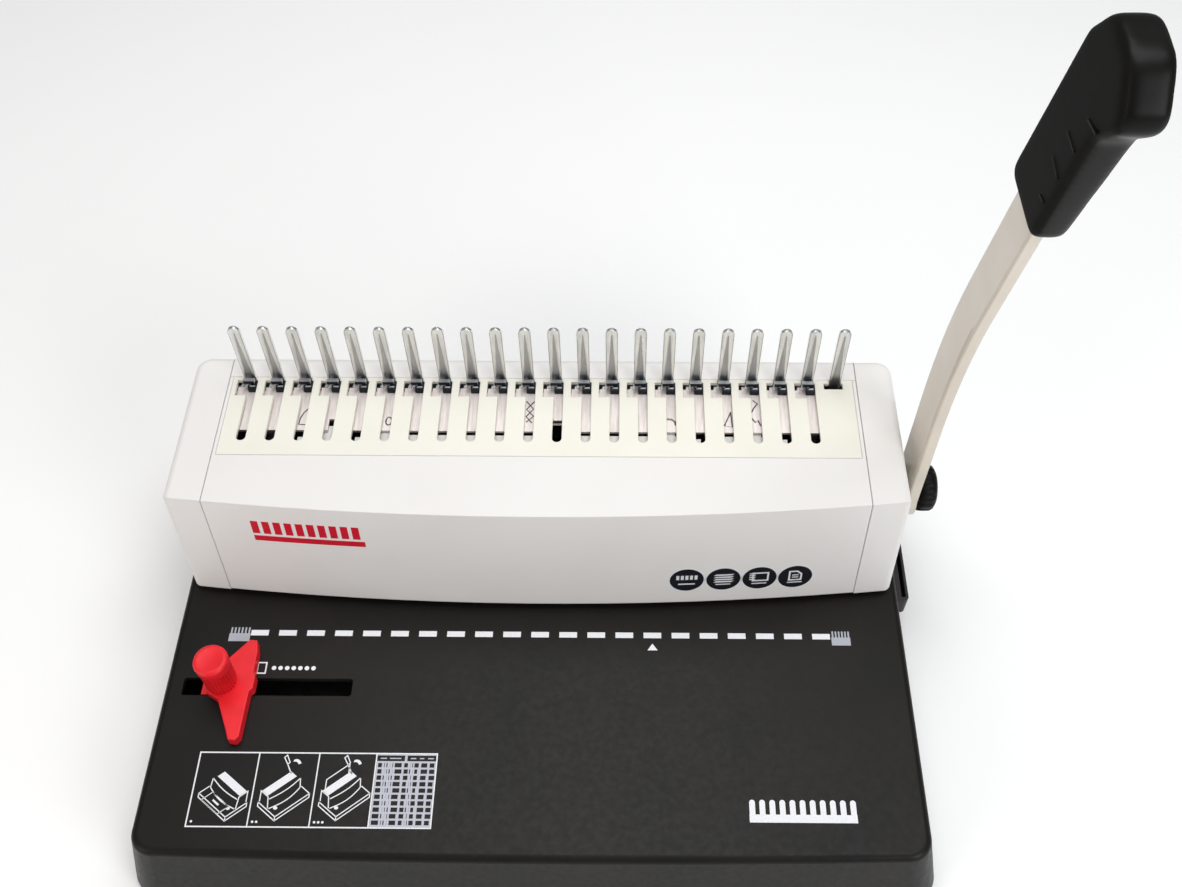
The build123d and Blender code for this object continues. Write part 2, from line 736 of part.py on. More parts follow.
def make_lever_grip():
    """Moulded hand grip with a forward-swept head, thinner towards its lower end."""
    outline = make_face(Polyline(
        (46.6, 307.5),
        (22.4, 385.0),
        (9.0, 400.0),
        (-11.5, 399.0),
        (-24.6, 381.5),
        (-8.4, 366.4),
        (8.8, 307.5),
        close=True,
    ))
    corners = outline.vertices()
    outline = fillet(corners.sort_by(Axis.Y)[-2:], 12)
    sharp = outline.vertices().sort_by_distance((-24.6, 381.5))[0]
    outline = fillet(sharp, 8)
    neck = outline.vertices().sort_by_distance((-8.4, 366.4))[0]
    outline = fillet(neck, 14)
    heel = outline.vertices().sort_by_distance((46.6, 307.5))[0]
    outline = fillet(heel, 5)
    toe = outline.vertices().sort_by_distance((8.8, 307.5))[0]
    outline = fillet(toe, 6)
    grip = Pos(grip_x0, 0, 0) * extrude(Plane.YZ * outline, grip_x1 - grip_x0)
    taper = make_face(Polyline(
        (grip_low_x, grip_low_z),
        (grip_x1, grip_full_z),
        (grip_x1 + 9, grip_full_z),
        (grip_x1 + 9, grip_low_z),
        close=True,
    ))
    grip -= extrude(Plane.XZ * taper, 100, both=True)
    grip = fillet(grip.faces().sort_by(Axis.X)[0].edges(), 2.6)
    outer = [[e.center() for e in f.edges()] for f in grip.faces() if f.normal_at().X > 0.9]
    rim = [e for e in grip.edges() if sum(e.center() in centres for centres in outer) == 1]
    grip = fillet(rim, 3.2)
    pocket = Pos(arm_x, 0, 0) * extrude(Plane.YZ * arm_outline(0), arm_depth)
    core = Pos(arm_x + arm_sheet, 0, 0) * extrude(Plane.YZ * arm_outline(arm_sheet), arm_depth - arm_sheet)
    return grip - pocket + (grip & core)


# ---------------------------------------------------------------- drawer and edge guide
def make_chip_drawer():
    """Long tray for punched chips with a lipped pull at the right end."""
    floor_z = base_floor_z + 2.3
    tray = block(drawer_x0, 186.5, drawer_y0 + 1, drawer_y1 - 1, floor_z, drawer_z1 - 1)
    tray -= block(drawer_x0 + 1.8, 184.7, drawer_y0 + 2.8, drawer_y1 - 2.8, floor_z + 1.8, 60)
    front = block(186.4, drawer_pull_x - 3.6, drawer_y0, drawer_y1, floor_z, drawer_z1)
    lip = block(drawer_pull_x - 3.7, drawer_pull_x, drawer_y0, drawer_y1, 16, drawer_z1)
    lip = fillet(lip.edges().filter_by(Axis.Z).sort_by(Axis.X)[-2:], 2.4)
    lip -= block(drawer_pull_x - 5.0, drawer_pull_x - drawer_lip, drawer_y0 + 2.0, drawer_y1 - 2.0,
                 18.0, drawer_z1 + 1)
    return tray + front + lip


def make_edge_guide():
    """Leaf-shaped stop plate that slides along the slot in the table."""
    outline = make_face(Polyline(
        (-140.4, -18.0),
        (-141.6, -12.4),
        (-145.4, -12.0),
        (-153.8, -22.0),
        (-162.2, -29.6),
        (-162.2, -40.2),
        (-155.4, -44.4),
        (-148.2, -61.0),
        (-146.6, -65.2),
        (-143.2, -65.6),
        (-141.4, -63.4),
        (-140.8, -40.2),
        (-139.2, -38.2),
        (-139.2, -31.8),
        (-140.4, -30.0),
        close=True,
    ))
    outline = fillet(outline.vertices(), 0.6)
    z0 = base_top_z + 0.3
    plate = Pos(0, 0, z0) * extrude(outline, 5.8)
    plate = fillet(plate.faces().sort_by(Axis.Z)[-1].edges(), 0.5)
    plate += block(-166, -146, guide_y - 4.3, guide_y + 4.3, base_top_z - 2.4, z0 + 0.1)
    plate -= rod_z(guide_screw_x, guide_y, 30, 60, 2.0)
    return plate


def make_guide_nut():
    """Square nut under the table with the stud of the clamping knob."""
    nut = block(guide_screw_x - 8, guide_screw_x + 8, guide_y - 8, guide_y + 8, 37.0, 40.9)
    return nut + rod_z(guide_screw_x, guide_y, 40.8, 66.0, 2.0)


def make_guide_knob():
    """Knurled clamping knob of the edge guide."""
    z0 = base_top_z + 6.5
    z1 = z0 + 23.0
    knob = rod_z(guide_screw_x, guide_y, z0, z1, knob_r)
    knob = fillet(knob.edges().filter_by(GeomType.CIRCLE).sort_by(Axis.Z)[-1], 1.6)
    for k in range(knob_flutes):
        a = 2 * math.pi * k / knob_flutes
        x = guide_screw_x + (knob_r + 0.5) * math.cos(a)
        y = guide_y + (knob_r + 0.5) * math.sin(a)
        knob -= rod_z(x, y, z0 - 1.0, z1 - 5.0, 1.1)
    return knob - rod_z(guide_screw_x, guide_y, z0 - 1, 67.0, 2.06)


# ---------------------------------------------------------------- build
def main():
    shell = make_housing_shell()
    nodes = {
        "base_shell": make_base_shell(),
        "bottom_plate": make_bottom_plate(),
        "rubber_feet": make_rubber_feet(),
        "bottom_screws": make_bottom_screws(),
        "front_cover": make_front_cover(shell),
        "rear_cover": make_rear_cover(shell),
        "left_end_cap": make_end_cap(shell, -1),
        "right_end_cap": make_end_cap(shell, 1),
        "cover_screws": make_cover_screws(),
        "comb_plate": make_comb_plate(),
        "finger_comb": make_finger_comb(),
        "hook_slider": make_hook_slider(),
        "slider_rails": make_slider_rails(),
        "slider_guide": make_slider_guide(),
        "die_plate": make_die_plate(),
        "stripper_plate": make_stripper_plate(),
        "throat_spacers": make_throat_spacers(),
        "punches": make_punches(),
        "punch_bar": make_punch_bar(),
        "punch_retainer": make_punch_retainer(),
        "guide_posts": make_guide_posts(),
        "left_side_frame": make_side_frame(-1),
        "right_side_frame": make_side_frame(1),
        "frame_screws": make_frame_screws(),
        "tie_bar": make_tie_bar(),
        "shaft_bushes": make_shaft_bushes(),
        "drive_shaft": make_drive_shaft(),
        "crank_discs": make_crank_discs(),
        "crank_pins": make_crank_pins(),
        "slider_arms": make_slider_arms(),
        "slider_pins": make_slider_pins(),
        "lever_arm": make_lever_arm(),
        "lever_hub": make_lever_hub(),
        "lever_knob": make_lever_knob(),
        "lever_grip": make_lever_grip(),
        "chip_drawer": make_chip_drawer(),
        "edge_guide": make_edge_guide(),
        "guide_nut": make_guide_nut(),
        "guide_knob": make_guide_knob(),
    }
    os.makedirs("parts", exist_ok=True)
    for name, shape in nodes.items():
        if isinstance(shape, list):
            shape = Compound(children=shape)
        export_step(shape, f"parts/{name}.step")


if __name__ == "__main__":
    main()
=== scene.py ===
"""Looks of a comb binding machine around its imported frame.

Shapes are in millimetres and become metres in mesh().
"""
import json
import math

import bmesh
import bpy
from mathutils import Matrix, Vector
from mathutils.bvhtree import BVHTree


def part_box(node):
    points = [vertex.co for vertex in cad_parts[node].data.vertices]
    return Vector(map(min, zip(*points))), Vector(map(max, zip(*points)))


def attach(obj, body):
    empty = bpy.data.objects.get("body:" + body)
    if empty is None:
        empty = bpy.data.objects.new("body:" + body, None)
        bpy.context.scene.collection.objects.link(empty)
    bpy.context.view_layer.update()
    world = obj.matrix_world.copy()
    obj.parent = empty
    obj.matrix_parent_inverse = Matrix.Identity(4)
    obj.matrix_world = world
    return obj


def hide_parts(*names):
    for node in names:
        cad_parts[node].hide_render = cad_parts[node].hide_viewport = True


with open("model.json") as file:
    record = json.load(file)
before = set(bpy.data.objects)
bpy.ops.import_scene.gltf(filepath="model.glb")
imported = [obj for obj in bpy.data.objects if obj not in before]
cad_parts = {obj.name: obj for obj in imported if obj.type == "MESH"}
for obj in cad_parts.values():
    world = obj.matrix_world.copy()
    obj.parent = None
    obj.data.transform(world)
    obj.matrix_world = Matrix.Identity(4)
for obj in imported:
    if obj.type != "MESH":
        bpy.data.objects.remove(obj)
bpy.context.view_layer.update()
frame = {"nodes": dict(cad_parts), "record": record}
nodes = frame["nodes"]

MM = 0.001
PITCH = 14.2875                 # comb pitch
HOLES = 21
FINGERS = 22
INK = 0.05                      # thickness of printed marks

# camera
CAMERA_PLACE = (0.040442, -0.306589, 0.614580)
CAMERA_PITCH = 53.443           # degrees down
CAMERA_YAW = 0.663              # degrees, to the left
CAMERA_ROLL = 0.183
CAMERA_LENS = 38.174
CAMERA_SHIFT = -0.01783


def box_mm(node):
    """Lowest and highest corner of a CAD node in millimetres."""
    low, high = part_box(node)
    return low / MM, high / MM


TABLE_Z = box_mm("base_shell")[1].z
ROOF_Z = box_mm("comb_plate")[1].z
FINGER_BACK_Y = box_mm("finger_comb")[1].y
FINGER_TIP_Z = box_mm("finger_comb")[1].z
FINGER_FOOT_Z = box_mm("finger_comb")[0].z
SHAFT_Y = 65.5                  # axis of the drive shaft
SHAFT_Z = 76.0
LEVER_X = 187.0                 # inner face of the lever arm
COVER_T = 2.5                   # wall of the front cover


def finger_x(i):
    return (i - (FINGERS - 1) / 2) * PITCH


def hole_x(i):
    return (i - (HOLES - 1) / 2) * PITCH


MIX_A, MIX_B = 6, 7             # colour inputs of a Mix node
MIX_COLOUR = 2                  # its colour output


def map_range(node, numbers):
    """Sets the four bounds of a Map Range node."""
    for socket, number in zip(("From Min", "From Max", "To Min", "To Max"), numbers):
        node.inputs[socket].default_value = number


# ------------------------------------------------------------------ materials
class Look:
    """One material: a Principled shader and short names for the nodes around it."""

    def __init__(self, name, colour, roughness, metallic=0.0, specular=0.5):
        self.material = bpy.data.materials.new(name)
        self.material.use_nodes = True
        self.material.diffuse_color = (*colour, 1)
        self.tree = self.material.node_tree
        self.shader = self.tree.nodes["Principled BSDF"]
        self.colour = colour
        self.set("Base Color", (*colour, 1))
        self.set("Roughness", roughness)
        self.set("Metallic", metallic)
        self.set("Specular IOR Level", specular)
        self.place = self.tree.nodes.new("ShaderNodeTexCoord").outputs["Object"]
        self.normal = None

    def set(self, socket, value):
        self.shader.inputs[socket].default_value = value

    def node(self, kind, **values):
        made = self.tree.nodes.new(kind)
        for name, value in values.items():
            setattr(made, name, value)
        return made

    def link(self, source, target):
        self.tree.links.new(source, target)

    def stretched(self, stretch):
        mapping = self.node("ShaderNodeMapping")
        mapping.inputs["Scale"].default_value = stretch
        self.link(self.place, mapping.inputs["Vector"])
        return mapping.outputs["Vector"]

    def noise(self, size_mm, detail, stretch=(1, 1, 1)):
        """Noise whose features are about size_mm across."""
        noise = self.node("ShaderNodeTexNoise")
        noise.inputs["Scale"].default_value = 1 / (size_mm * MM)
        noise.inputs["Detail"].default_value = detail
        self.link(self.stretched(stretch), noise.inputs["Vector"])
        return noise.outputs["Fac"]

    def soft_cells(self, size_mm):
        """Rounded cells about size_mm across."""
        cells = self.node("ShaderNodeTexVoronoi", feature="SMOOTH_F1")
        cells.inputs["Scale"].default_value = 1 / (size_mm * MM)
        self.link(self.place, cells.inputs["Vector"])
        return cells.outputs["Distance"]

    def remap(self, value, low, high, out_low, out_high):
        """Clamped linear map of a value."""
        remap = self.node("ShaderNodeMapRange")
        map_range(remap, (low, high, out_low, out_high))
        self.link(value, remap.inputs["Value"])
        return remap.outputs["Result"]

    def sideways(self):
        """How far the surface faces along the object's X axis, from 0 to 1."""
        split = self.node("ShaderNodeSeparateXYZ")
        self.link(self.node("ShaderNodeTexCoord").outputs["Normal"], split.inputs["Vector"])
        size = self.node("ShaderNodeMath", operation="ABSOLUTE")
        self.link(split.outputs["X"], size.inputs[0])
        return size.outputs["Value"]

    def mottle(self, value, other_colour, low=0.35, high=0.65):
        """Mixes the base colour towards another by a pattern."""
        mix = self.node("ShaderNodeMix", data_type="RGBA")
        mix.inputs[MIX_A].default_value = (*self.colour, 1)
        mix.inputs[MIX_B].default_value = (*other_colour, 1)
        self.link(self.remap(value, low, high, 0, 1), mix.inputs["Factor"])
        self.link(mix.outputs[MIX_COLOUR], self.shader.inputs["Base Color"])

    def vary_roughness(self, value, low, high):
        self.link(self.remap(value, 0.3, 0.7, low, high), self.shader.inputs["Roughness"])

    def soften(self, radius_mm):
        """Rounds sharp edges in the shading."""
        bevel = self.node("ShaderNodeBevel", samples=4)
        bevel.inputs["Radius"].default_value = radius_mm * MM
        self.normal = bevel.outputs["Normal"]
        self.link(self.normal, self.shader.inputs["Normal"])

    def bump(self, height, depth_mm, strength):
        bump = self.node("ShaderNodeBump")
        bump.inputs["Distance"].default_value = depth_mm * MM
        bump.inputs["Strength"].default_value = strength
        self.link(height, bump.inputs["Height"])
        if self.normal is not None:
            self.link(self.normal, bump.inputs["Normal"])
        self.normal = bump.outputs["Normal"]
        self.link(self.normal, self.shader.inputs["Normal"])


def base_plastic():
    """Charcoal ABS with a fine leather grain."""
    look = Look("base_plastic", (0.0078, 0.0072, 0.0067), 0.40, specular=0.16)
    look.mottle(look.noise(45, 2), (0.0105, 0.0090, 0.0075))
    look.vary_roughness(look.noise(3, 3), 0.36, 0.46)
    look.soften(0.7)
    look.bump(look.soft_cells(0.7), 0.030, 0.4)
    look.bump(look.noise(0.35, 3), 0.012, 0.4)
    return look.material


def cover_plastic():
    """Warm white ABS with a very fine spark grain."""
    look = Look("cover_plastic", (0.800, 0.785, 0.762), 0.38, specular=0.4)
    look.mottle(look.noise(70, 2), (0.775, 0.756, 0.735))
    look.vary_roughness(look.noise(4, 3), 0.33, 0.45)
    look.soften(0.8)
    look.bump(look.noise(0.45, 3), 0.012, 0.6)
    return look.material


def cream_plate():
    """Cream powder paint on sheet steel."""
    look = Look("cream_plate", (0.820, 0.800, 0.715), 0.36)
    look.mottle(look.noise(30, 2), (0.800, 0.778, 0.690))
    look.soften(0.3)
    look.bump(look.noise(1.1, 2), 0.010, 0.8)
    return look.material


def nickel(name, colour, roughness, run=(1, 1, 0.12)):
    """Plated sheet steel with fine drawn lines."""
    look = Look(name, colour, roughness, metallic=1.0)
    dull = tuple(c * 0.84 for c in colour)
    look.mottle(look.noise(1.6, 4, run), dull)
    look.vary_roughness(look.noise(0.7, 4, run), roughness - 0.06, roughness + 0.10)
    look.bump(look.noise(0.3, 3, run), 0.006, 0.6)
    return look.material


def arm_paint():
    """Beige satin enamel on pressed steel."""
    look = Look("arm_paint", (0.73, 0.665, 0.57), 0.34)
    look.mottle(look.noise(24, 3), (0.69, 0.625, 0.53))
    look.set("Coat Weight", 0.25)
    look.set("Coat Roughness", 0.18)
    look.soften(0.5)
    look.bump(look.noise(1.4, 2), 0.012, 0.7)
    return look.material


def black_plastic(name, colour=(0.0045, 0.0042, 0.0038), roughness=0.42, grain=0.5, matt_sides=False):
    """Satin black moulding with a fine grain. The sides that face along X may be more matt."""
    look = Look(name, colour, roughness, specular=0.12)
    look.mottle(look.noise(9, 3), tuple(c * 1.4 for c in colour), 0.45, 0.75)
    if matt_sides:
        rough = look.remap(look.sideways(), 0.45, 0.95, roughness - 0.06, roughness + 0.36)
        look.link(rough, look.shader.inputs["Roughness"])
    else:
        look.vary_roughness(look.noise(1.5, 3), roughness - 0.04, roughness + 0.06)
    look.soften(0.5)
    look.bump(look.noise(grain, 3), 0.02, 0.6)
    return look.material


def red_plastic():
    """Satin red moulding, slightly translucent."""
    look = Look("red_plastic", (0.80, 0.016, 0.026), 0.38, specular=0.3)
    look.mottle(look.noise(8, 3), (0.72, 0.013, 0.021))
    look.set("Subsurface Weight", 0.08)
    look.set("Subsurface Radius", (0.004, 0.001, 0.001))
    look.soften(0.5)
    look.bump(look.noise(0.5, 3), 0.012, 0.6)
    return look.material


def plain_steel(name, colour, roughness):
    """Zinc-plated or ground steel with directionless scratches."""
    look = Look(name, colour, roughness, metallic=1.0)
    look.mottle(look.noise(6, 5), tuple(c * 0.8 for c in colour))
    look.vary_roughness(look.noise(1.2, 4), roughness - 0.08, roughness + 0.12)
    look.bump(look.noise(0.5, 4), 0.008, 0.5)
    return look.material


def rubber():
    look = Look("foot_rubber", (0.018, 0.018, 0.018), 0.75, specular=0.3)
    look.mottle(look.noise(3, 3), (0.030, 0.029, 0.028))
    look.bump(look.noise(0.4, 3), 0.03, 0.6)
    return look.material


def white_rail():
    look = Look("rail_plastic", (0.78, 0.77, 0.74), 0.45)
    look.mottle(look.noise(10, 3), (0.72, 0.71, 0.68))
    look.bump(look.noise(0.6, 3), 0.015, 0.6)
    return look.material


def ink(name, colour, roughness=0.5):
    """Screen-printed ink with slightly uneven cover."""
    look = Look(name, colour, roughness, specular=0.3)
    look.mottle(look.noise(0.8, 3), tuple(c * 0.9 for c in colour))
    look.bump(look.noise(0.4, 2), 0.01, 0.5)
    return look.material


LOOKS = {
    "base_plastic": base_plastic(),
    "cover_plastic": cover_plastic(),
    "cream_plate": cream_plate(),
    "comb_steel": nickel("comb_steel", (0.84, 0.845, 0.84), 0.32),
    # Darker copy of the comb nickel for the finger grooves: painted dark reflection in the grooves.
    "groove_painted_reflection": nickel("groove_painted_reflection", (0.46, 0.465, 0.475), 0.36),
    "slider_steel": nickel("slider_steel", (0.86, 0.80, 0.775), 0.60, (1, 0.10, 1)),
    "hook_steel": nickel("hook_steel", (0.56, 0.58, 0.60), 0.36, (0.12, 1, 1)),
    # Near-black nickel: painted dark reflection on the hooks' front faces and on the blocks beside them.
    "hook_painted_dark_reflection": nickel("hook_painted_dark_reflection", (0.030, 0.032, 0.038), 0.42, (0.12, 1, 1)),
    "spring_steel": plain_steel("spring_steel", (0.16, 0.16, 0.17), 0.38),
    "arm_paint": arm_paint(),
    "knob_plastic": black_plastic("knob_plastic"),
    "grip_plastic": black_plastic("grip_plastic", matt_sides=True),
    "drawer_plastic": black_plastic("drawer_plastic", (0.045, 0.043, 0.042), 0.42, 0.8),
    "red_plastic": red_plastic(),
    "plate_steel": plain_steel("plate_steel", (0.60, 0.60, 0.61), 0.40),
    "screw_steel": plain_steel("screw_steel", (0.56, 0.56, 0.57), 0.34),
    # Near-black steel on the tie bar: painted shade where the bar shows through the slots.
    "dark_steel": plain_steel("dark_steel", (0.05, 0.05, 0.052), 0.45),
    "tool_steel": plain_steel("tool_steel", (0.46, 0.46, 0.47), 0.30),
    "bush_brass": plain_steel("bush_brass", (0.72, 0.53, 0.26), 0.32),
    "rail_plastic": white_rail(),
    "foot_rubber": rubber(),
    "white_ink": ink("white_ink", (0.82, 0.83, 0.86)),
    "grey_ink": ink("grey_ink", (0.42, 0.44, 0.49)),
    "pale_ink": ink("pale_ink", (0.50, 0.51, 0.58)),
    "black_ink": ink("black_ink", (0.006, 0.007, 0.010), 0.42),
    "red_ink": ink("red_ink", (0.62, 0.010, 0.030), 0.35),
}


def dress_cad():
    """Gives each CAD node the material of its record slot."""
    for part in frame["record"]["subparts"]:
        node = nodes[part["node"]]
        node.data.materials.clear()
        node.data.materials.append(LOOKS[part["material_slot"]])
    slider = nodes["hook_slider"].data
    slider.materials[0] = LOOKS["slider_steel"]
    slider.materials.append(LOOKS["hook_steel"])
    slider.materials.append(LOOKS["hook_painted_dark_reflection"])
    # Faces above the roof that face the front get the near-black painted dark reflection; the other faces
    # there get the hook steel.
    for face in slider.polygons:
        if face.center.z > (ROOF_Z - 2.0) * MM:
            face.material_index = 2 if face.normal.y < -0.5 else 1


# ------------------------------------------------------------------ mesh tools
def mesh(name, body, look, points, faces, smooth=math.radians(35)):
    """Makes one piece from points in millimetres and lets it ride on a body."""
    data = bpy.data.meshes.new(name)
    data.from_pydata([Vector(p) * MM for p in points], [], faces)
    tidy = bmesh.new()
    tidy.from_mesh(data)
    bmesh.ops.recalc_face_normals(tidy, faces=tidy.faces)
    tidy.to_mesh(data)
    tidy.free()
    data.materials.append(LOOKS[look])
    piece = bpy.data.objects.new(name, data)
    bpy.context.scene.collection.objects.link(piece)
    if smooth:
        data.shade_smooth()
        data.set_sharp_from_angle(angle=smooth)
    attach(piece, body)
    return piece


def modify(piece, kind, **settings):
    modifier = piece.modifiers.new(kind.lower(), kind)
    for name, value in settings.items():
        setattr(modifier, name, value)
    return modifier


TUBE_SIDES = 10
BAR_STEPS = 24


class Shapes:
    """Closed shapes gathered into one mesh."""

    def __init__(self):
        self.points = []
        self.faces = []

    def loops(self, rings, capped=True):
        """Skins a row of point rings, and caps both ends."""
        start = len(self.points)
        n = len(rings[0])
        for ring in rings:
            self.points.extend(ring)
        for r in range(len(rings) - 1):
            a = start + r * n
            for k in range(n):
                j = (k + 1) % n
                self.faces.append((a + k, a + j, a + n + j, a + n + k))
        if capped:
            last = start + (len(rings) - 1) * n
            self.faces.append(tuple(range(start + n - 1, start - 1, -1)))
            self.faces.append(tuple(range(last, last + n)))

    def tube(self, path, radius):
        """Round bar along a list of points."""
        path = [Vector(p) for p in path]
        rings = []
        side = None
        for i, p in enumerate(path):
            ahead = path[min(i + 1, len(path) - 1)] - path[max(i - 1, 0)]
            ahead.normalize()
            if side is None:
                side = ahead.orthogonal().normalized()
            side = (side - ahead * side.dot(ahead)).normalized()
            up = ahead.cross(side)
            ring = []
            for k in range(TUBE_SIDES):
                a = 2 * math.pi * k / TUBE_SIDES
                ring.append(p + radius * (side * math.cos(a) + up * math.sin(a)))
            rings.append(ring)
        self.loops(rings)

    def piece(self, name, body, look, slot=None, smooth=math.radians(35)):
        return mesh(name, body, look, self.points, self.faces, smooth)


class Print(Shapes):
    """Thin printed marks on a surface. place(u, v, h) gives a point h above the surface."""

    def __init__(self, place):
        super().__init__()
        self.place = place

    def patch(self, outline):
        rings = [[self.place(u, v, h) for u, v in outline] for h in (0, INK)]
        self.loops(rings)

    def bar(self, u0, u1, v0, v1):
        self.patch([(u0, v0), (u1, v0), (u1, v1), (u0, v1)])

    def long_bar(self, u0, u1, v0, v1):
        """Bar in short pieces, so that it follows a curved surface."""
        middle = (v0 + v1) / 2
        step = (u1 - u0) / BAR_STEPS
        self.line([(u0 + step * k, middle) for k in range(BAR_STEPS + 1)], v1 - v0)

    def disc(self, u, v, ru, rv, steps):
        self.patch(circle(u, v, ru, rv, steps))

    def line(self, points, width, closed=False):
        """Mitred line of one width through the points."""
        left, right = offset_sides([Vector(p) for p in points], width / 2, closed)
        rings = []
        for a, b in zip(left, right):
            ring = [self.place(*a, 0), self.place(*b, 0), self.place(*b, INK), self.place(*a, INK)]
            rings.append(ring)
        if closed:
            rings.append(rings[0])
        self.loops(rings, capped=not closed)


def circle(u, v, ru, rv, steps, start=0.0, turn=2 * math.pi):
    return [
        (u + ru * math.cos(start + turn * k / steps), v + rv * math.sin(start + turn * k / steps))
        for k in range(steps)
    ]


def offset_sides(points, half, closed):
    """Left and right offsets of a polyline, mitred at its corners."""
    left, right = [], []
    n = len(points)
    for i, p in enumerate(points):
        before = points[i - 1] if closed or i else None
        after = points[(i + 1) % n] if closed or i < n - 1 else None
        d1 = (p - before).normalized() if before is not None else (after - p).normalized()
        d2 = (after - p).normalized() if after is not None else d1
        across = Vector((-(d1.y + d2.y), d1.x + d2.x))
        across = across.normalized() if across.length > 1e-6 else Vector((-d1.y, d1.x))
        reach = half / max(0.35, across.dot(Vector((-d1.y, d1.x))))
        left.append(p + across * reach)
        right.append(p - across * reach)
    return left, right


def on_table(u, v, h):
    return Vector((u, v, TABLE_Z + h))


front_tree = BVHTree.FromObject(nodes["front_cover"], bpy.context.evaluated_depsgraph_get())


def on_front(u, v, h):
    """Point on the bowed front face at width u and height v."""
    start = Vector((u, -100, v)) * MM
    spot, normal, _, _ = front_tree.ray_cast(start, Vector((0, 1, 0)))
    if normal.y > 0:
        normal = -normal
    return spot / MM + normal * h


# ------------------------------------------------------------------ printed marks
def hole_marks():
    """Row of dashes that shows where the punched holes fall."""
    marks = Print(on_table)
    for i in range(HOLES):
        x = hole_x(i)
        marks.bar(x - 4.5, x + 4.5, -6.55, -3.45)
    pointer_x = hole_x(14)
    marks.patch([(pointer_x - 2.6, -13.4), (pointer_x + 2.6, -13.4), (pointer_x, -9.6)])
    marks.piece("table_hole_marks", "base", "white_ink")


def end_marks():
    """Small comb symbols at both ends of the dashes."""
    marks = Print(on_table)
    for x0, x1 in ((-158.3, -147.6), (148.0, 157.6)):
        marks.bar(x0, x1, -9.9, -5.4)
        step = (x1 - x0) / 6
        for k in range(6):
            middle = x0 + step * (k + 0.5)
            marks.bar(middle - 0.42, middle + 0.42, -5.4, -2.0)
    marks.piece("table_end_marks", "base", "grey_ink")


def size_marks():
    """Sheet symbol and a row of dots beside the edge guide."""
    marks = Print(on_table)
    marks.line([(-140.6, -27.6), (-136.4, -27.6), (-136.4, -21.8), (-140.6, -21.8)], 0.7, closed=True)
    for k in range(7):
        marks.disc(-132.4 + k * 3.3, -24.7, 1.15, 1.15, 20)
    marks.piece("table_size_marks", "base", "white_ink")


def comb_symbol():
    """Generic white comb symbol at the front right of the table."""
    marks = Print(on_table)
    x0, x1 = 101.3, 151.4
    marks.bar(x0, x1, -101.4, -97.6)
    teeth = 11
    step = (x1 - x0 - 3.0) / (teeth - 1)
    for k in range(teeth):
        x = x0 + 1.5 + k * step
        outline = [(x - 1.35, -97.6), (x + 1.35, -97.6), (x + 1.35, -91.9)]
        outline += circle(x, -91.9, 1.35, 1.35, 8, 0.0, math.pi)
        outline.append((x - 1.35, -91.9))
        marks.patch(outline)
    marks.piece("table_comb_symbol", "base", "white_ink")


PANEL_X = (-159.9, -131.5, -102.7, -75.3, -46.4)
PANEL_Y = (-105.4, -69.3)


def guide_panel():
    """Framed picture guide: three line drawings and a table of sizes."""
    lines = Print(on_table)
    y0, y1 = PANEL_Y
    x0, x1 = PANEL_X[0], PANEL_X[-1]
    lines.line([(x0, y0), (x1, y0), (x1, y1), (x0, y1)], 0.66, closed=True)
    for x in PANEL_X[1:-1]:
        lines.bar(x - 0.3, x + 0.3, y0 + 0.33, y1 - 0.33)
    for cell in range(3):
        for dot in range(cell + 1):
            lines.disc(PANEL_X[cell] + 2.2 + 1.9 * dot, y0 + 2.4, 0.6, 0.6, 14)
    draw_machine(lines, PANEL_X[1] - 1.9, -95.8, -1)
    draw_machine(lines, PANEL_X[1] + 3.4, -95.5, 1)
    draw_machine(lines, PANEL_X[2] + 3.0, -95.2, 1)
    draw_loose_sheet(lines, PANEL_X[1] - 1.9, -95.8)
    for cell in (1, 2):
        draw_lever(lines, PANEL_X[cell] + 16.6, -79.6)
    draw_raised_sheet(lines, PANEL_X[2] + 3.0, -95.2)
    lines.piece("table_guide_panel", "base", "white_ink")


DRAW_LENGTH = 18.3
DRAW_DEPTH = 11.3
DRAW_THICK = 1.9
DRAW_TALL = 7.0
DRAW_BACK = 4.7                 # depth of the housing's roof
DRAW_BOW_INSET = 0.9
DRAW_BOW_STEPS = 10


def drawing_point(u, v, way, x, y, z):
    """Slanted view: x along the housing, y towards its front, z up."""
    return Vector((u + way * (x * 0.79 + y * 0.786), v + x * 0.62 - y * 0.618 + z))


def draw_machine(lines, u, v, way):
    """Line drawing of a box-shaped binding machine seen from a corner."""
    def at(x, y, z):
        return drawing_point(u, v, way, x, y, z)

    def trace(points):
        lines.line([at(*p) for p in points], 0.5)

    def bow(z, y, swell):
        x0 = DRAW_BOW_INSET
        x1 = DRAW_LENGTH - DRAW_BOW_INSET
        shares = [k / DRAW_BOW_STEPS for k in range(DRAW_BOW_STEPS + 1)]
        return [(x0 + (x1 - x0) * t, y + swell * math.sin(math.pi * t), z) for t in shares]

    length, depth, thick, tall, back = DRAW_LENGTH, DRAW_DEPTH, DRAW_THICK, DRAW_TALL, DRAW_BACK
    trace([(0, 0, thick), (0, 0, 0), (0, depth, 0), (length, depth, 0), (length, depth, thick),
           (length, back + 1, thick)])
    trace([(0, 0, thick), (0, depth, thick), (length, depth, thick)])
    trace([(0, depth, 0), (0, depth, thick)])
    trace([(0.6, 0, thick), (0.6, 0, tall), (0.6, back, tall), (0.6, back + 0.8, thick)])
    trace(bow(thick, back + 1.2, 1.4))
    trace(bow(tall - 0.9, back + 0.6, 0.9))
    trace([(length - 0.8, back + 0.6, tall - 0.9), (length - 0.8, back + 1.2, thick)])
    roof = ((0.7, 0.3), (length - 2.0, 0.3), (length - 2.0, back - 0.6), (0.7, back - 0.6))
    lines.patch([at(x, y, tall) for x, y in roof])
    lines.disc(*at(2.6, back + 3.4, thick + 0.6), 1.0, 0.8, 18)


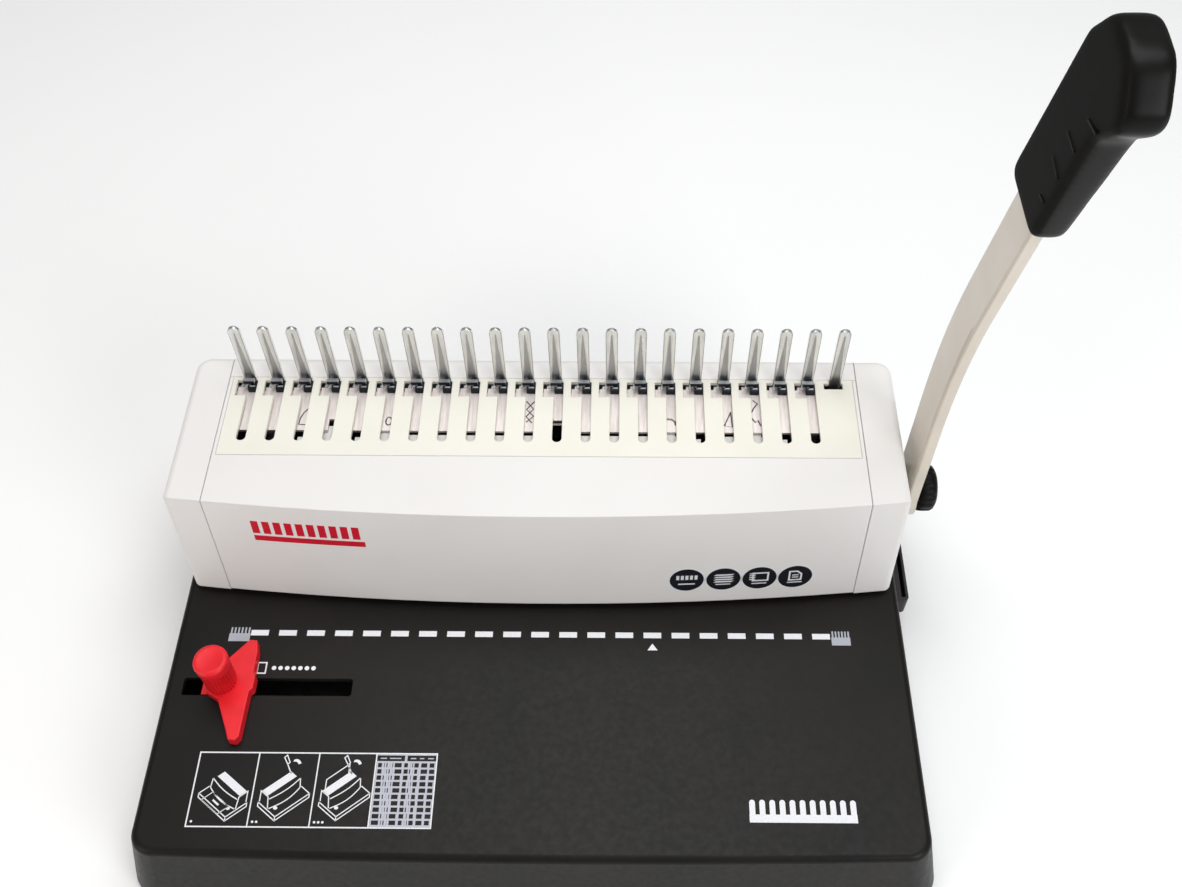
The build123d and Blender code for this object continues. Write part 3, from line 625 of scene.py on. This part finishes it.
def draw_lever(lines, u, v):
    """Lever with a looped grip, and a short curved arrow beside it."""
    lines.line([(u, v), (u - 2.4, v + 4.6)], 0.55)
    loop = ((-2.4, 4.6), (-4.4, 8.0), (-3.2, 9.2), (-1.4, 5.6))
    lines.line([(u + du, v + dv) for du, dv in loop], 0.5, closed=True)
    outer = circle(u + 1.6, v + 4.0, 2.6, 3.2, 9, 0.35, 1.9)
    inner = circle(u + 1.0, v + 3.8, 1.9, 2.2, 9, 0.35, 1.9)
    lines.patch(outer + inner[::-1])


def draw_loose_sheet(lines, u, v):
    """Sheet lying on the drawn table with its edge in the throat."""
    corners = ((3.5, 7.0), (14.5, 7.0), (14.5, DRAW_DEPTH + 1.5), (3.5, DRAW_DEPTH + 1.5))
    lines.line([drawing_point(u, v, -1, x, y, DRAW_THICK + 0.2) for x, y in corners], 0.4, closed=True)
    lines.line([drawing_point(u, v, -1, x, 9.6, DRAW_THICK + 0.3) for x in (7.0, 11.0)], 0.9)


def draw_raised_sheet(lines, u, v):
    """Sheet standing behind the drawn roof."""
    x0, x1 = 2.2, DRAW_LENGTH - 3.4
    z0, z1 = DRAW_TALL, DRAW_TALL + 4.6
    corners = ((x0, z0), (x0, z1), (x1, z1), (x1, z0))
    lines.line([drawing_point(u, v, 1, x, 0.4, z) for x, z in corners], 0.5)


TABLE_ROWS = 10
TABLE_ROW_H = 3.1
TABLE_GAP = 0.95                # light band between two rows
TABLE_FIELDS = ((0.7, 4.0), (9.2, 12.2), (13.2, 15.4), (18.6, 20.1), (21.3, 24.4), (25.3, 28.0))


def size_table():
    """Light field of the panel with rows of open squares."""
    grid, light = Print(on_table), Print(on_table)
    x0, x1 = PANEL_X[3] + 0.4, PANEL_X[4] - 0.4
    y0, y1 = PANEL_Y[0] + 0.4, PANEL_Y[1] - 0.4
    for r in range(TABLE_ROWS + 1):
        low = y0 + r * TABLE_ROW_H
        light.bar(x0, x1, low, low + TABLE_GAP)
        if r < TABLE_ROWS:
            fill_row(grid, x0, x1, low + TABLE_GAP, low + TABLE_ROW_H, r)
    header = y0 + TABLE_ROWS * TABLE_ROW_H + TABLE_GAP
    light.bar(x0, x1, y1 - 0.5, y1)
    light.bar(x0 + 13.2, x0 + 14.4, header, y1 - 0.5)
    for u0, u1 in ((1.6, 4.6), (6.0, 11.4), (16.0, 18.6), (20.4, 22.4), (24.2, 27.0)):
        light.bar(x0 + u0, x0 + u1, header + 1.1, y1 - 1.7)
    grid.piece("table_size_grid", "base", "pale_ink")
    light.piece("table_size_rules", "base", "pale_ink")


def fill_row(grid, x0, x1, low, high, row):
    """Light pieces of one row, broken into uneven strokes between the open squares."""
    edge = x0
    for k, (u0, u1) in enumerate(TABLE_FIELDS):
        shrink = 0.16 * (TABLE_ROWS - row) if k == 0 else 0.22 * ((row + k) % 3)
        start = x0 + u0
        fill_strokes(grid, edge, start, low, high, row + k)
        edge = min(x0 + u1 - (1.6 - shrink if k == 0 else shrink), x1)
    fill_strokes(grid, edge, x1, low, high, row)


def fill_strokes(grid, x0, x1, low, high, phase):
    """Fills a field with strokes that leave small gaps."""
    count = max(1, round((x1 - x0) / 1.3))
    step = (x1 - x0) / count
    for k in range(count):
        gap = 0.0 if count == 1 else 0.10 + 0.22 * ((phase + k) % 3)
        grid.bar(x0 + k * step, x0 + (k + 1) * step - gap, low, high)


BADGE_X = (74.1, 92.6, 110.9, 129.0)
BADGE_Z = (66.6, 66.3, 65.9, 65.3)
BADGE_R = 8.6
BADGE_RIM_R = BADGE_R + 0.55
BADGE_STEPS = 48


def badges():
    """Four round black badges with white rims and simple symbols."""
    discs, rims, symbols = Print(on_front), Print(on_front), Print(lift_front)
    for x, z in zip(BADGE_X, BADGE_Z):
        discs.disc(x, z, BADGE_R, BADGE_R, BADGE_STEPS)
        rims.line(circle(x, z, BADGE_RIM_R, BADGE_RIM_R, BADGE_STEPS), 0.8, closed=True)
    badge_holes(symbols, BADGE_X[0], BADGE_Z[0])
    badge_stack(symbols, BADGE_X[1], BADGE_Z[1])
    badge_book(symbols, BADGE_X[2], BADGE_Z[2])
    badge_sheet(symbols, BADGE_X[3], BADGE_Z[3])
    discs.piece("badge_discs", "base", "black_ink")
    rims.piece("badge_rims", "base", "white_ink")
    symbols.piece("badge_symbols", "base", "white_ink")


def lift_front(u, v, h):
    return on_front(u, v, h + INK)


def badge_holes(marks, x, z):
    """Two rows of punched holes."""
    for k in range(5):
        u = x + (k - 2) * 2.3
        marks.bar(u - 0.75, u + 0.75, z + 0.3, z + 3.6)
    marks.bar(x - 4.2, x + 4.2, z - 3.6, z - 2.7)


def badge_stack(marks, x, z):
    """A small stack of sheets."""
    for k in range(4):
        v = z + 3.4 - k * 1.8
        sheet = ((-5, -0.5), (4, -0.5), (5.3, 0.5), (-3.7, 0.5))
        marks.patch([(x + du, v + dv) for du, dv in sheet])
    marks.bar(x - 3.8, x + 3.8, z - 4.4, z - 3.7)


def badge_book(marks, x, z):
    """A bound booklet with its rings."""
    cover = ((-3.4, -2.0), (4.2, -2.0), (4.2, 4.0), (-3.4, 4.0))
    marks.line([(x + du, z + dv) for du, dv in cover], 0.9, closed=True)
    for k in range(4):
        v = z - 1.2 + k * 1.5
        marks.bar(x - 5.2, x - 2.2, v, v + 0.7)
    marks.bar(x - 3.8, x + 3.8, z - 4.6, z - 3.9)


def badge_sheet(marks, x, z):
    """A sheet with a folded corner."""
    sheet = ((-3, -2.4), (3, -2.4), (3, 2.2), (0.8, 4.4), (-3, 4.4))
    marks.line([(x + du, z + dv) for du, dv in sheet], 0.9, closed=True)
    marks.bar(x - 1.6, x + 1.6, z - 0.6, z + 0.1)
    marks.bar(x - 1.6, x + 1.6, z + 1.1, z + 1.8)
    marks.bar(x - 3.8, x + 3.8, z - 4.7, z - 4.0)


def front_symbol():
    """Generic red symbol: the edge of a punched sheet."""
    marks = Print(on_front)
    x0, x1, z0, z1 = -139.2, -84.2, 90.4, 104.8
    columns = 10
    step = (x1 - x0) / columns
    marks.long_bar(x0, x1, z0, z0 + 3.8)
    for k in range(columns):
        x = x0 + k * step
        marks.bar(x, x + step * 0.66, z0 + 5.4, z1)
    marks.piece("front_red_symbol", "base", "red_ink")


# ------------------------------------------------------------------ comb fingers and hooks
FINGER_W = 6.0
FINGER_T = 1.9
GROOVE_DEEP = 0.45
GROOVE_HALF = 2.05              # half width of the groove at its foot
GROOVE_FOOT_Z = 112.0
STRIP_TOP_Z = 108.5             # the strip that joins the fingers ends here
TIP_STEPS = 9


def finger_section(half, groove, deep, front):
    """Section of a finger with a shallow groove in its front face."""
    rim = min(0.35, half * 0.3)
    back = front + FINGER_T
    soft = 0.22
    return [
        (-half, front + soft), (-half + rim, front), (-groove - deep * 0.8, front), (-groove, front + deep),
        (groove, front + deep), (groove + deep * 0.8, front), (half - rim, front), (half, front + soft),
        (half, back - soft), (half - rim, back), (-half + rim, back), (-half, back - soft),
    ]


def finger_levels():
    """(z, half width, groove half width, groove depth) from the foot to the rounded tip."""
    centre = FINGER_TIP_Z - FINGER_W / 2
    end = centre - 1.0
    levels = [(STRIP_TOP_Z - 0.5, FINGER_W / 2, GROOVE_HALF, GROOVE_DEEP)]
    for share in (0.0, 0.25, 0.5, 0.75, 1.0):
        z = GROOVE_FOOT_Z + (end - GROOVE_FOOT_Z) * share
        groove = GROOVE_HALF - 1.80 * share
        levels.append((z, FINGER_W / 2, groove, GROOVE_DEEP * (1 - 0.5 * share)))
    for k in range(TIP_STEPS + 1):
        a = math.pi / 2 * k / (TIP_STEPS + 0.4)
        half = FINGER_W / 2 * math.cos(a)
        levels.append((centre + FINGER_W / 2 * math.sin(a), half, 0.02 * math.cos(a), 0.0))
    return levels


def fingers():
    """Grooved fingers with rounded tips, standing on their common strip."""
    shapes = Shapes()
    front = FINGER_BACK_Y - FINGER_T
    levels = finger_levels()
    for i in range(FINGERS):
        x = finger_x(i)
        rings = []
        for z, half, groove, deep in levels:
            rings.append([(x + u, y, z) for u, y in finger_section(half, groove, deep, front)])
        shapes.loops(rings)
    half = box_mm("finger_comb")[1].x
    y0, y1 = front, front + FINGER_T
    strip = [(-half, y0), (half, y0), (half, y1), (-half, y1)]
    shapes.loops([[(x, y, z) for x, y in strip] for z in (FINGER_FOOT_Z, STRIP_TOP_Z)])
    low_y = box_mm("finger_comb")[0].y
    for side in (-1, 1):
        x0, x1 = side * 151 - 5.5, side * 151 + 5.5
        tab = [(x0, low_y), (x1, low_y), (x1, y0 + 0.1), (x0, y0 + 0.1)]
        shapes.loops([[(x, y, z) for x, y in tab] for z in (FINGER_FOOT_Z, FINGER_FOOT_Z + 2)])
    comb = shapes.piece("comb_fingers", "base", "comb_steel", "comb_steel")
    # The front faces inside each groove get the darker nickel: painted dark reflection.
    comb.data.materials.append(LOOKS["groove_painted_reflection"])
    for face in comb.data.polygons:
        depth = face.center.y / MM - front
        if 0.1 < depth < GROOVE_DEEP + 0.05 and face.normal.y < -0.5 and abs(face.normal.x) < 0.75:
            face.material_index = 1
    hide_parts("finger_comb")


# side outlines (y, z) of a hook's block and lip, and plan outline (x, y) of its wing
HOOK_BLOCK = ((96.2, 112.4), (96.2, 115.8), (97.0, 116.5), (98.6, 116.9), (101.2, 117.1), (101.4, 112.4))
HOOK_LIP = ((97.35, 116.4), (97.5, 116.95), (98.1, 117.05), (98.25, 116.6))
HOOK_WING = ((-3.9, 97.0), (-2.6, 96.6), (-0.8, 100.4), (-2.9, 100.4))


def hook_blocks():
    """Blocks beside the hooks, low enough to follow the narrow part of the slots. Their near-black colour
    is a painted dark reflection.
    """
    blocks, lips = Shapes(), Shapes()
    for i in range(HOLES):
        x = finger_x(i)
        blocks.loops([[(u, y, z) for y, z in HOOK_BLOCK] for u in (x - 0.75, x + 3.75)])
        lips.loops([[(u, y, z) for y, z in HOOK_LIP] for u in (x + 0.1, x + 3.0)])
        lips.loops([[(x + u, y, z) for u, y in HOOK_WING] for z in (ROOF_Z + 0.3, ROOF_Z + 1.2)])
    body = blocks.piece("hook_blocks", "comb_hooks", "hook_painted_dark_reflection", "comb_steel")
    modify(body, "BEVEL", width=0.3 * MM, segments=3, limit_method="ANGLE", angle_limit=math.radians(40))
    wings = lips.piece("hook_lips", "comb_hooks", "hook_steel", "comb_steel")
    modify(wings, "BEVEL", width=0.12 * MM, segments=2, limit_method="ANGLE", angle_limit=math.radians(40))


def slot_springs():
    """Small wire springs that lie on the slider, low enough to pass below the front cover."""
    wires = Shapes()
    top = ROOF_Z - COVER_T - 0.02

    def wire(i, points, radius=0.36):
        x = finger_x(i) + 1.5
        wires.tube([(x + u, y, top - radius) for u, y in points], radius)

    wire(2, [(2.2, 86.4), (-0.4, 82.8), (-1.5, 79.6), (-1.8, 75.6), (1.8, 75.4)])
    wire(5, circle(0.5, 78.0, 1.5, 2.5, 16) + [(2.0, 78.0)], 0.42)
    wire(10, [(-1.9, 91.0), (1.7, 86.2), (-1.8, 81.4), (1.2, 77.4)])
    wire(10, [(1.9, 91.0), (-1.8, 86.0), (1.9, 81.6), (-1.6, 77.8)])
    wire(15, [(-2.2, 80.2), (0.2, 80.0), (1.9, 78.6), (2.3, 76.4)], 0.85)
    wire(17, [(1.7, 85.0), (-1.9, 76.2), (2.1, 75.4), (1.6, 84.6)])
    wire(18, [(-1.0, 92.6), (1.2, 90.4), (-0.8, 87.6), (-1.9, 85.0)])
    wire(18, [(-2.0, 81.0), (-0.4, 78.4), (1.0, 79.8), (2.2, 76.2)], 0.6)
    wires.piece("slot_springs", "comb_hooks", "spring_steel", "comb_steel")


# ------------------------------------------------------------------ lever
RIB_PATH = ((55.0, 88.0), (54.8, 120.0), (54.2, 160.0), (50.9, 192.0), (47.2, 214.0), (45.0, 224.0))


def arm_rib():
    """Pressed rib on the lower half of the arm's inner face."""
    rib = Shapes()
    x = LEVER_X
    rings = []
    last = len(RIB_PATH) - 1
    for k, (y, z) in enumerate(RIB_PATH):
        half = 1.7 if 0 < k < last else 0.6
        rise = 0.55 if 0 < k < last else 0.12
        rings.append([(x + 0.2, y - half, z), (x - rise * 0.7, y - half * 0.62, z), (x - rise, y, z),
                      (x - rise * 0.7, y + half * 0.62, z), (x + 0.2, y + half, z)])
    rib.loops(rings)
    piece = rib.piece("arm_rib", "lever", "arm_paint", "arm_paint", math.radians(60))
    modify(piece, "SUBSURF", levels=2, render_levels=2)


# (y, z) of both ends of each rib
GRIP_RIBS = (
    ((12.0, 326.3), (7.4, 327.0)),
    ((13.0, 342.1), (3.5, 340.8)),
    ((8.6, 355.8), (-1.0, 355.7)),
    ((-2.2, 369.4), (-11.0, 370.7)),
)


def grip_ribs():
    """Short slanting ribs on the grip's inner side, above its lower end."""
    ribs = Shapes()
    x = box_mm("lever_grip")[0].x - 0.05
    for low, high in GRIP_RIBS:
        ribs.tube([(x, *low), (x, *high)], 0.5)
    piece = ribs.piece("grip_ribs", "lever", "knob_plastic", "knob_plastic", math.radians(60))
    modify(piece, "BEVEL", width=0.15 * MM, segments=2, limit_method="ANGLE", angle_limit=math.radians(60))


KNOB_LOBES = 16
LOBE_DEEP = 0.4
LOBE_FROM_R = 9.5               # the knob is round inside this radius


def clamp_knob():
    """Lobed clamping knob at the lever's pivot."""
    knob = Shapes()
    low, high = box_mm("lever_knob")
    x0, x1 = low.x, high.x
    radius = (high.z - low.z) / 2
    profile = [(x0, 7.4), (x0 + 2.4, 7.8), (x0 + 2.5, radius - 1.2), (x0 + 3.4, radius - 0.2),
               (x0 + 5.4, radius), (x1 - 3.4, radius - 0.1), (x1 - 1.6, radius - 1.1),
               (x1 - 0.5, radius - 3.2), (x1 - 0.1, radius - 6.0), (x1 - 0.5, 3.2), (x1 - 0.5, 0.6)]
    steps = KNOB_LOBES * 10
    rings = []
    for x, r in profile:
        ring = []
        for k in range(steps):
            a = 2 * math.pi * k / steps
            depth = LOBE_DEEP if r > LOBE_FROM_R else 0.0
            wave = 0.5 + 0.5 * math.cos(KNOB_LOBES * a)
            local = r - depth * (1 - wave ** 0.5)
            ring.append((x, SHAFT_Y + local * math.cos(a), SHAFT_Z + local * math.sin(a)))
        rings.append(ring)
    knob.loops(rings)
    piece = knob.piece("lever_clamp_knob", "lever", "knob_plastic", "knob_plastic", math.radians(50))
    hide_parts("lever_knob")


GUIDE_KNOB_R = 8.4
GUIDE_KNOB_FLUTES = 26


def guide_clamp_knob():
    """Red clamping knob: fine flutes below a plain, slightly wider cap."""
    low, high = box_mm("guide_knob")
    x, y = (low.x + high.x) / 2, (low.y + high.y) / 2
    z0, z1 = low.z, high.z
    skirt = [(z0, 6.6, 0.0), (z0 + 0.1, 7.3, 1.0), (z0 + 0.6, 7.6, 1.0),
             (z1 - 7.6, 7.9, 1.0), (z1 - 6.9, 8.0, 0.3)]
    cap = [(6.4, 8.15), (1.6, GUIDE_KNOB_R), (0.6, GUIDE_KNOB_R - 0.4), (0.1, GUIDE_KNOB_R - 1.2),
           (0.0, GUIDE_KNOB_R - 2.0), (0.25, GUIDE_KNOB_R - 3.0), (0.25, 0.3)]
    profile = skirt + [(z1 - down, r, 0.0) for down, r in cap]
    steps = GUIDE_KNOB_FLUTES * 8
    rings = []
    for z, r, depth in profile:
        ring = []
        for k in range(steps):
            a = 2 * math.pi * k / steps
            local = r - 0.75 * depth * (0.5 + 0.5 * math.cos(GUIDE_KNOB_FLUTES * a)) ** 0.7
            ring.append((x + local * math.cos(a), y + local * math.sin(a), z))
        rings.append(ring)
    knob = Shapes()
    knob.loops(rings)
    piece = knob.piece("edge_guide_knob", "guide_clamp", "red_plastic", "red_plastic", math.radians(50))
    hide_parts("guide_knob")


def hand_grip():
    """Soft-edged grip, remeshed and relaxed from its CAD form."""
    source = nodes["lever_grip"]
    piece = bpy.data.objects.new("hand_grip", source.data.copy())
    bpy.context.scene.collection.objects.link(piece)
    modify(piece, "REMESH", mode="VOXEL", voxel_size=1.1 * MM)
    modify(piece, "SMOOTH", factor=0.5, iterations=26)
    evaluated = piece.evaluated_get(bpy.context.evaluated_depsgraph_get())
    data = bpy.data.meshes.new_from_object(evaluated)
    piece.modifiers.clear()
    piece.data = data
    data.materials.clear()
    data.materials.append(LOOKS["grip_plastic"])
    data.shade_smooth()
    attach(piece, "lever")
    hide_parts("lever_grip")


# ------------------------------------------------------------------ stage
def camera():
    pitch, yaw, roll = (math.radians(a) for a in (CAMERA_PITCH, CAMERA_YAW, CAMERA_ROLL))
    data = bpy.data.cameras.new("photo_camera")
    data.lens = CAMERA_LENS
    data.shift_x = CAMERA_SHIFT
    data.clip_start = 0.01
    view = bpy.data.objects.new("photo_camera", data)
    bpy.context.scene.collection.objects.link(view)
    turn = Matrix.Rotation(yaw, 4, "Z") @ Matrix.Rotation(math.pi / 2 - pitch, 4, "X")
    turn = turn @ Matrix.Rotation(-roll, 4, "Z")
    view.matrix_world = Matrix.Translation(CAMERA_PLACE) @ turn
    bpy.context.scene.camera = view


def floor():
    look = Look("floor_paper", (0.97, 0.97, 0.965), 0.7, specular=0.2)
    look.mottle(look.noise(300, 2), (0.96, 0.96, 0.955))
    data = bpy.data.meshes.new("floor")
    half = 6.0
    corners = [(-half, -half, 0), (half, -half, 0), (half, half, 0), (-half, half, 0)]
    data.from_pydata(corners, [], [(0, 1, 2, 3)])
    data.materials.append(look.material)
    sheet = bpy.data.objects.new("floor", data)
    bpy.context.scene.collection.objects.link(sheet)


def lamp(name, place, aim, size, power, colour=(1, 1, 1)):
    """Soft square area lamp."""
    data = bpy.data.lights.new(name, "AREA")
    data.shape = "RECTANGLE"
    data.size, data.size_y = size
    data.energy = power
    data.color = colour
    light = bpy.data.objects.new(name, data)
    bpy.context.scene.collection.objects.link(light)
    light.location = place
    light.rotation_mode = "QUATERNION"
    light.rotation_quaternion = (Vector(aim) - Vector(place)).to_track_quat("-Z", "Y")


SKY_FADE_TO = 0.8               # the sky reaches its full strength at this height of the view
SKY_LOW = 0.12
SKY_HIGH = 0.36


def lighting():
    """Soft studio: a sky that is dimmer near the horizon, one lamp above and two in front."""
    world = bpy.data.worlds.new("studio")
    world.use_nodes = True
    tree = world.node_tree
    place = tree.nodes.new("ShaderNodeTexCoord")
    split = tree.nodes.new("ShaderNodeSeparateXYZ")
    fade = tree.nodes.new("ShaderNodeMapRange")
    map_range(fade, (0.0, SKY_FADE_TO, SKY_LOW, SKY_HIGH))
    sky = tree.nodes["Background"]
    sky.inputs["Color"].default_value = (0.96, 0.98, 1.0, 1)
    tree.links.new(place.outputs["Generated"], split.inputs["Vector"])
    tree.links.new(split.outputs["Z"], fade.inputs["Value"])
    tree.links.new(fade.outputs["Result"], sky.inputs["Strength"])
    bpy.context.scene.world = world
    lamp("key_above", (0.15, 0.24, 1.5), (0, 0.03, 0.1), (1.3, 0.9), 15.0)
    lamp("front_right", (1.1, -1.2, 0.9), (0, 0, 0.1), (0.9, 0.9), 13.5, (0.97, 0.98, 1.0))
    lamp("front_left", (-1.2, -1.0, 0.7), (0, 0, 0.1), (0.8, 0.8), 6.5, (1.0, 0.89, 0.82))


# ------------------------------------------------------------------ build
def main():
    bpy.context.scene.view_settings.view_transform = "Standard"
    dress_cad()
    hole_marks()
    end_marks()
    size_marks()
    comb_symbol()
    guide_panel()
    size_table()
    badges()
    front_symbol()
    fingers()
    hook_blocks()
    slot_springs()
    arm_rib()
    clamp_knob()
    guide_clamp_knob()
    hand_grip()
    grip_ribs()
    floor()
    lighting()
    camera()


main()
